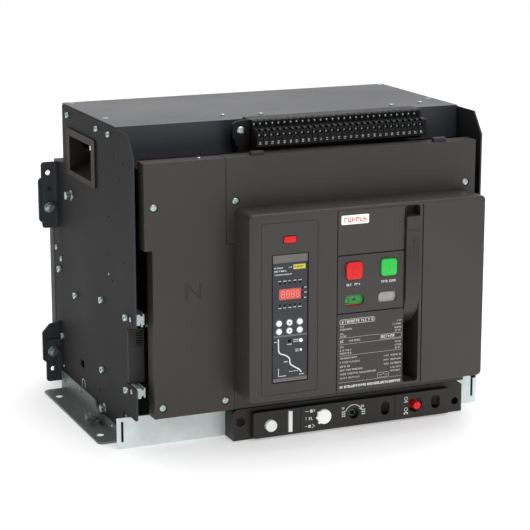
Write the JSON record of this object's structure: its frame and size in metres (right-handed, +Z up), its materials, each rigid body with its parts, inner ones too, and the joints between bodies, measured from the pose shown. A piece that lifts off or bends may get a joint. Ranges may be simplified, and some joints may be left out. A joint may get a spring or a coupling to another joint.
{
  "type": "draw-out air circuit breaker",
  "caption": "Draw-out low-voltage air circuit breaker in its cradle, with charging handle, push buttons, electronic trip unit, racking panel and rear bar terminals.",
  "frame": {"origin": "on the mounting surface, under the middle of the overall box", "axes": "+X to the right seen from the front, +Y towards the rear terminals, +Z up"},
  "size_m": [0.5956, 0.51, 0.444],
  "materials": {
    "plate": "fine matt powder coat",
    "cover": "fine moulded texture",
    "topsheet": "satin powder coat",
    "zinc": "zinc plated",
    "rear": "moulded thermoset",
    "thermoset": "dark red moulded thermoset",
    "panel": "fine moulded texture",
    "slate": "smooth moulded",
    "terminal": "tin plated copper",
    "red": "satin",
    "green": "satin",
    "white": "satin",
    "steel": "turned steel",
    "black": "moulded",
    "grip": "moulded",
    "arc": "moulded thermoset",
    "spring": "oiled spring steel",
    "copper": "silver plated copper"
  },
  "bodies": {
    "cradle": {"cradle_side_plate_left": "plate", "cradle_side_plate_right": "plate", "hand_grip_left": "grip", "hand_grip_right": "grip", "base_rail_left": "zinc", "base_rail_right": "zinc", "cradle_floor_plate": "zinc", "cradle_top_cover": "topsheet", "cradle_rear_base": "rear", "terminal_upper_n": "terminal", "terminal_lower_n": "terminal", "terminal_upper_a": "terminal", "terminal_lower_a": "terminal", "terminal_upper_b": "terminal", "terminal_lower_b": "terminal", "terminal_upper_c": "terminal", "terminal_lower_c": "terminal", "secondary_terminal_block": "black", "rail_guide_left": "zinc", "rail_guide_right": "zinc", "racking_panel": "panel"},
    "extension_rails": {"extension_rail_left": "zinc", "extension_rail_right": "zinc", "rail_handle_left": "black", "rail_handle_right": "black"},
    "breaker": {"pole_housing": "thermoset", "arc_chute_n": "arc", "arc_chute_a": "arc", "arc_chute_b": "arc", "arc_chute_c": "arc", "contact_cluster_upper": "copper", "contact_cluster_lower": "copper", "closing_spring": "spring", "neutral_pole_cover": "cover", "front_cover": "cover", "front_fascia": "cover", "trip_unit": "slate", "mechanism_bracket": "zinc"},
    "racking_screw": {"racking_screw": "steel"},
    "racking_nut_bar": {"racking_nut_bar": "steel"},
    "position_knob": {"position_knob": "white"},
    "release_button": {"release_button": "red"},
    "padlock_tab": {"padlock_tab": "zinc"},
    "lock_plunger": {"lock_plunger": "zinc"},
    "shutter_upper": {"shutter_upper": "rear"},
    "shutter_lower": {"shutter_lower": "rear"},
    "pole_shaft": {"pole_shaft": "steel"},
    "ratchet_camshaft": {"ratchet_camshaft": "steel"},
    "contact_flag": {"contact_flag": "green"},
    "spring_flag": {"spring_flag": "white"},
    "on_button": {"on_button": "green"},
    "off_button": {"off_button": "red"},
    "reset_button": {"reset_button": "red"},
    "charging_handle": {"charging_handle": "cover"},
    "trip_key_1": {"trip_key_1": "white"},
    "trip_key_2": {"trip_key_2": "white"},
    "trip_key_3": {"trip_key_3": "white"},
    "trip_key_4": {"trip_key_4": "white"},
    "trip_key_5": {"trip_key_5": "white"},
    "trip_key_6": {"trip_key_6": "white"}
  },
  "joints": [
    {"name": "extension_rails_slide", "type": "slide", "parent": "cradle", "child": "extension_rails", "axis": [0, -1, 0], "range_m": [0, 0.26]},
    {"name": "breaker_racking", "type": "slide", "parent": "extension_rails", "child": "breaker", "axis": [0, -1, 0], "range_m": [0, 0.062]},
    {"name": "racking_screw_turn", "type": "hinge", "parent": "cradle", "child": "racking_screw", "pos_m": [0.06022, -0.187, 0.021], "axis": [0, -1, 0], "range_deg": [0, 5580]},
    {"name": "racking_nut_slide", "type": "slide", "parent": "cradle", "child": "racking_nut_bar", "axis": [0, -1, 0], "range_m": [0, 0.062]},
    {"name": "position_knob_turn", "type": "hinge", "parent": "cradle", "child": "position_knob", "pos_m": [0.01282, -0.197, 0.0232], "axis": [0, -1, 0], "range_deg": [0, 90]},
    {"name": "shutter_upper_slide", "type": "slide", "parent": "cradle", "child": "shutter_upper", "axis": [0, 0, -1], "range_m": [0, 0.045]},
    {"name": "shutter_lower_slide", "type": "slide", "parent": "cradle", "child": "shutter_lower", "axis": [0, 0, 1], "range_m": [0, 0.045]},
    {"name": "release_button_press", "type": "slide", "parent": "cradle", "child": "release_button", "axis": [0, 1, 0], "range_m": [0, 0.004], "stiffness_N_per_m": 1200, "springref_m": -0.003},
    {"name": "padlock_tab_pull", "type": "slide", "parent": "cradle", "child": "padlock_tab", "axis": [0, -1, 0], "range_m": [0, 0.016]},
    {"name": "lock_plunger_press", "type": "slide", "parent": "cradle", "child": "lock_plunger", "axis": [0, 1, 0], "range_m": [0, 0.005], "stiffness_N_per_m": 1200, "springref_m": -0.003},
    {"name": "main_shaft_turn", "type": "hinge", "parent": "breaker", "child": "pole_shaft", "pos_m": [0, -0.115, 0.17], "axis": [-1, 0, 0], "range_deg": [0, 48]},
    {"name": "camshaft_turn", "type": "hinge", "parent": "breaker", "child": "ratchet_camshaft", "pos_m": [0.16722, -0.147, 0.262], "axis": [1, 0, 0], "range_deg": [0, 180]},
    {"name": "contact_flag_slide", "type": "slide", "parent": "breaker", "child": "contact_flag", "axis": [0, 0, 1], "range_m": [0, 0.017]},
    {"name": "spring_flag_slide", "type": "slide", "parent": "breaker", "child": "spring_flag", "axis": [0, 0, 1], "range_m": [0, 0.017]},
    {"name": "on_button_press", "type": "slide", "parent": "breaker", "child": "on_button", "axis": [0, 1, 0], "range_m": [0, 0.004], "stiffness_N_per_m": 1500, "springref_m": -0.003},
    {"name": "off_button_press", "type": "slide", "parent": "breaker", "child": "off_button", "axis": [0, 1, 0], "range_m": [0, 0.004], "stiffness_N_per_m": 1500, "springref_m": -0.003},
    {"name": "reset_button_press", "type": "slide", "parent": "breaker", "child": "reset_button", "axis": [0, 1, 0], "range_m": [0, 0.0035], "stiffness_N_per_m": 1200, "springref_m": -0.003},
    {"name": "charging_handle_swing", "type": "hinge", "parent": "breaker", "child": "charging_handle", "pos_m": [0.12022, -0.184, 0.094], "axis": [1, 0, 0], "range_deg": [0, 60], "stiffness_Nm_per_rad": 0.6, "springref_deg": -45.84},
    {"name": "trip_key_1_press", "type": "slide", "parent": "breaker", "child": "trip_key_1", "axis": [0, 1, 0], "range_m": [0, 0.0008], "stiffness_N_per_m": 2000, "springref_m": -0.0004},
    {"name": "trip_key_2_press", "type": "slide", "parent": "breaker", "child": "trip_key_2", "axis": [0, 1, 0], "range_m": [0, 0.0008], "stiffness_N_per_m": 2000, "springref_m": -0.0004},
    {"name": "trip_key_3_press", "type": "slide", "parent": "breaker", "child": "trip_key_3", "axis": [0, 1, 0], "range_m": [0, 0.0008], "stiffness_N_per_m": 2000, "springref_m": -0.0004},
    {"name": "trip_key_4_press", "type": "slide", "parent": "breaker", "child": "trip_key_4", "axis": [0, 1, 0], "range_m": [0, 0.0008], "stiffness_N_per_m": 2000, "springref_m": -0.0004},
    {"name": "trip_key_5_press", "type": "slide", "parent": "breaker", "child": "trip_key_5", "axis": [0, 1, 0], "range_m": [0, 0.0008], "stiffness_N_per_m": 2000, "springref_m": -0.0004},
    {"name": "trip_key_6_press", "type": "slide", "parent": "breaker", "child": "trip_key_6", "axis": [0, 1, 0], "range_m": [0, 0.0008], "stiffness_N_per_m": 2000, "springref_m": -0.0004}
  ],
  "couplings": [
    {"joint": "racking_screw_turn", "follows": "breaker_racking", "rad_per_m": 1570.6},
    {"joint": "racking_nut_slide", "follows": "breaker_racking", "ratio": 1},
    {"joint": "position_knob_turn", "follows": "breaker_racking", "rad_per_m": 25.31},
    {"joint": "shutter_upper_slide", "follows": "breaker_racking", "ratio": 0.72508},
    {"joint": "shutter_lower_slide", "follows": "breaker_racking", "ratio": 0.72508},
    {"joint": "contact_flag_slide", "follows": "main_shaft_turn", "m_per_rad": 0.020272},
    {"joint": "spring_flag_slide", "follows": "camshaft_turn", "m_per_rad": 0.005406}
  ]
}
